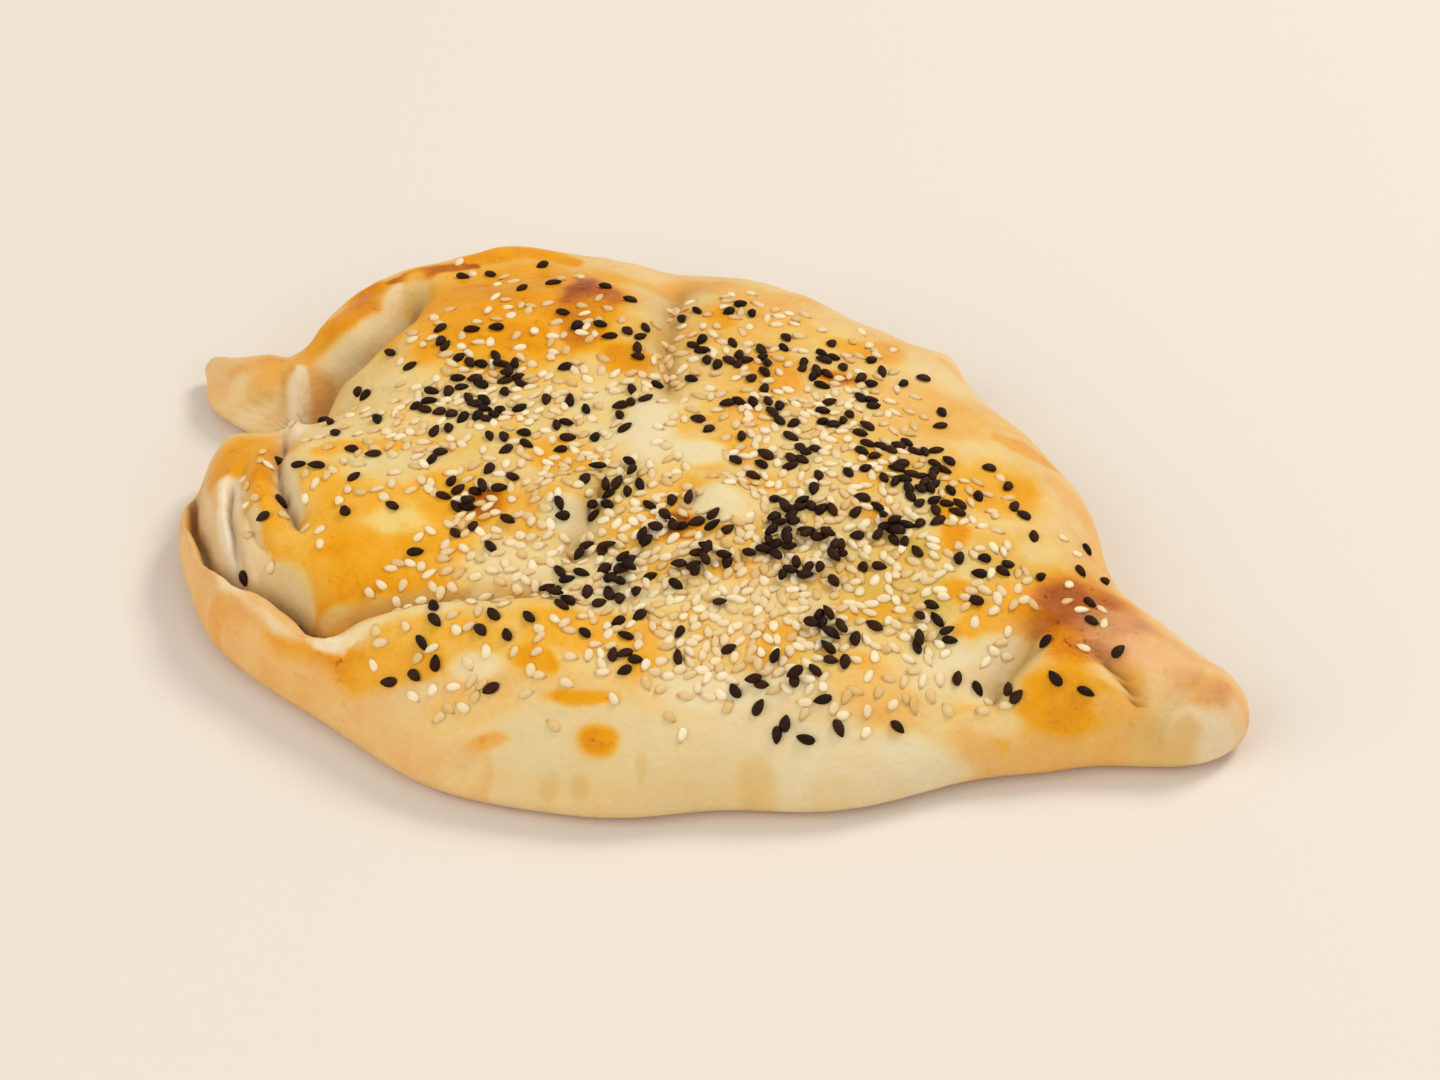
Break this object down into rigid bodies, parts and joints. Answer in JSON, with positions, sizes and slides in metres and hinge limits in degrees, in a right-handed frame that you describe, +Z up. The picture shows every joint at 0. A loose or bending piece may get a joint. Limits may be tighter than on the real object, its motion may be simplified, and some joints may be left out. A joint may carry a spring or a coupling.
{
  "type": "fatayer",
  "caption": "Baked filled flatbread with pinched ends and folded flaps, golden egg glaze, and sesame and nigella seeds on top.",
  "frame": {"origin": "under the middle of the bread's bounding box, on the surface that it rests on", "axes": "+X along the bread towards its rounded knob, +Y away from the front flap, +Z up"},
  "size_m": [0.1888, 0.1286, 0.0254],
  "materials": {
    "baked_dough": "baked wheat crust under a thin egg glaze, slightly shiny, golden to cream, with small sesame and nigella seeds baked onto it"
  },
  "bodies": {
    "root": {"fatayer": "baked_dough"}
  },
  "joints": []
}
